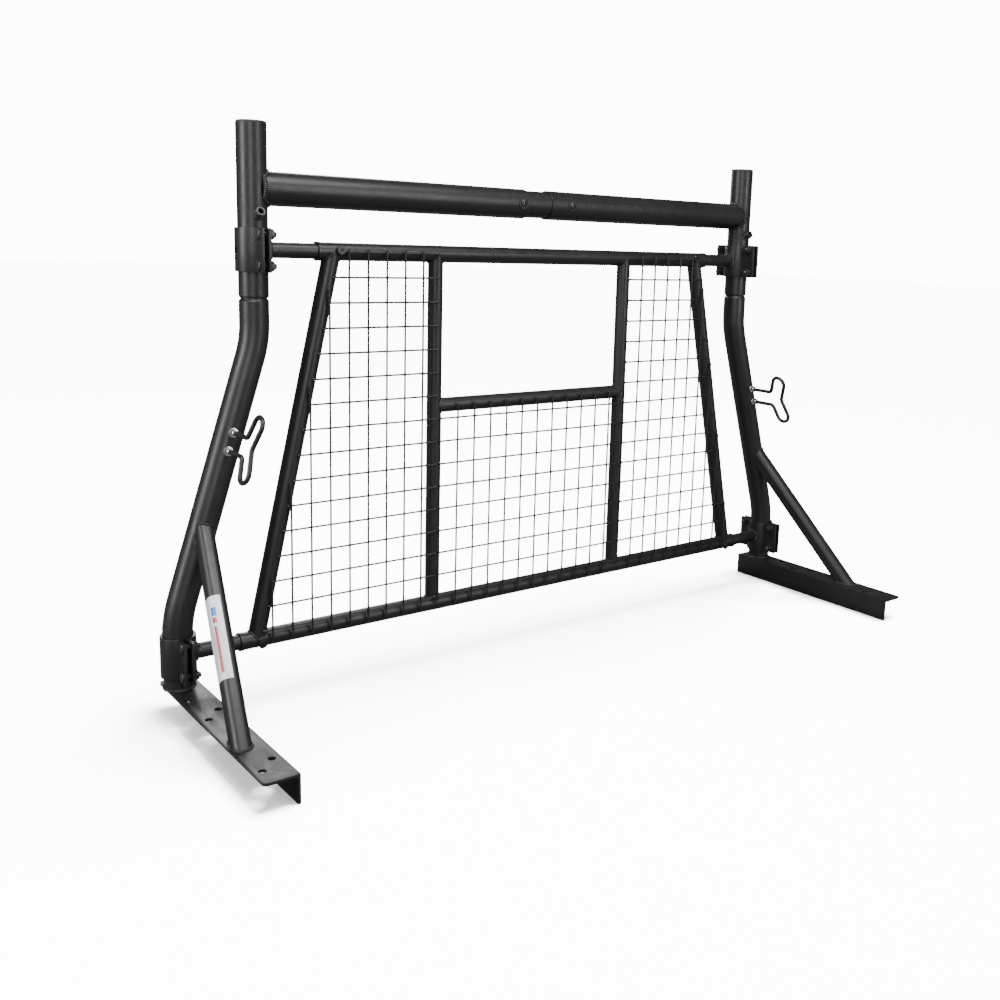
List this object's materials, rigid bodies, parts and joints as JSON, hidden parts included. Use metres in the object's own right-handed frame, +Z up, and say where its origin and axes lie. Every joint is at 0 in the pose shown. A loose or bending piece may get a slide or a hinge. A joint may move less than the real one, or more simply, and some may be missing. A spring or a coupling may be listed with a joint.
{
  "type": "adjustable truck bed ladder rack with window guard",
  "caption": "Telescoping over-bed ladder rack: bent leg towers on base angles, a round load crossbar, rope cleats and a clamped wire-mesh rear window guard.",
  "frame": {"origin": "bottom centre of the bounding box, on the floor under the hanging flanges of the base angles", "axes": "+X across the truck bed, +Y forward towards the cab (the base angles and braces run back towards -Y), +Z up"},
  "size_m": [1.6272, 0.488, 1.054],
  "materials": {
    "frame_powder_coat": "satin black powder coat with a fine orange peel",
    "mesh_powder_coat": "semi-gloss black powder coat",
    "dark_hardware": "black zinc, semi-gloss",
    "zinc_hardware": "bright zinc plate",
    "cap_plastic": "moulded black plastic",
    "label_film": "printed vinyl film"
  },
  "bodies": {
    "left_tower": {"left_base_angle": "frame_powder_coat", "left_leg": "frame_powder_coat", "left_brace": "frame_powder_coat", "left_brace_label": "label_film", "left_post": "frame_powder_coat", "left_post_cap": "cap_plastic", "left_crossbar": "frame_powder_coat", "left_crossbar_bolt": "dark_hardware", "left_eye_boss": "frame_powder_coat", "left_cleat": "frame_powder_coat", "left_cleat_nuts": "zinc_hardware", "left_upper_clamp_outer": "frame_powder_coat", "left_upper_clamp_inner": "frame_powder_coat", "left_upper_clamp_bolts": "dark_hardware", "left_upper_clamp_nuts": "dark_hardware", "left_upper_stub": "frame_powder_coat", "left_lower_clamp_outer": "frame_powder_coat", "left_lower_clamp_inner": "frame_powder_coat", "left_lower_clamp_bolts": "dark_hardware", "left_lower_clamp_nuts": "dark_hardware", "left_lower_stub": "frame_powder_coat"},
    "right_tower": {"right_base_angle": "frame_powder_coat", "right_leg": "frame_powder_coat", "right_brace": "frame_powder_coat", "right_post": "frame_powder_coat", "right_post_cap": "cap_plastic", "right_crossbar": "frame_powder_coat", "right_crossbar_bolt": "dark_hardware", "right_eye_boss": "frame_powder_coat", "right_cleat": "frame_powder_coat", "right_cleat_nuts": "zinc_hardware", "right_upper_clamp_outer": "frame_powder_coat", "right_upper_clamp_inner": "frame_powder_coat", "right_upper_clamp_bolts": "dark_hardware", "right_upper_clamp_nuts": "dark_hardware", "right_upper_stub": "frame_powder_coat", "right_lower_clamp_outer": "frame_powder_coat", "right_lower_clamp_inner": "frame_powder_coat", "right_lower_clamp_bolts": "dark_hardware", "right_lower_clamp_nuts": "dark_hardware", "right_lower_stub": "frame_powder_coat"},
    "cage": {"cage_top_bar": "frame_powder_coat", "cage_bottom_bar": "frame_powder_coat", "cage_left_side_tube": "frame_powder_coat", "cage_right_side_tube": "frame_powder_coat", "cage_left_upright": "frame_powder_coat", "cage_right_upright": "frame_powder_coat", "cage_sill": "frame_powder_coat", "mesh_left": "mesh_powder_coat", "mesh_right": "mesh_powder_coat", "mesh_centre": "mesh_powder_coat", "cage_set_nuts": "frame_powder_coat", "cage_set_bolts": "dark_hardware"}
  },
  "joints": [
    {"name": "crossbar_slide", "type": "slide", "parent": "left_tower", "child": "right_tower", "axis": [1, 0, 0], "range_m": [-0.055, 0.2]},
    {"name": "guard_slide", "type": "slide", "parent": "left_tower", "child": "cage", "axis": [1, 0, 0], "range_m": [-0.0275, 0.1]}
  ],
  "couplings": [
    {"joint": "guard_slide", "follows": "crossbar_slide", "ratio": 0.5}
  ]
}
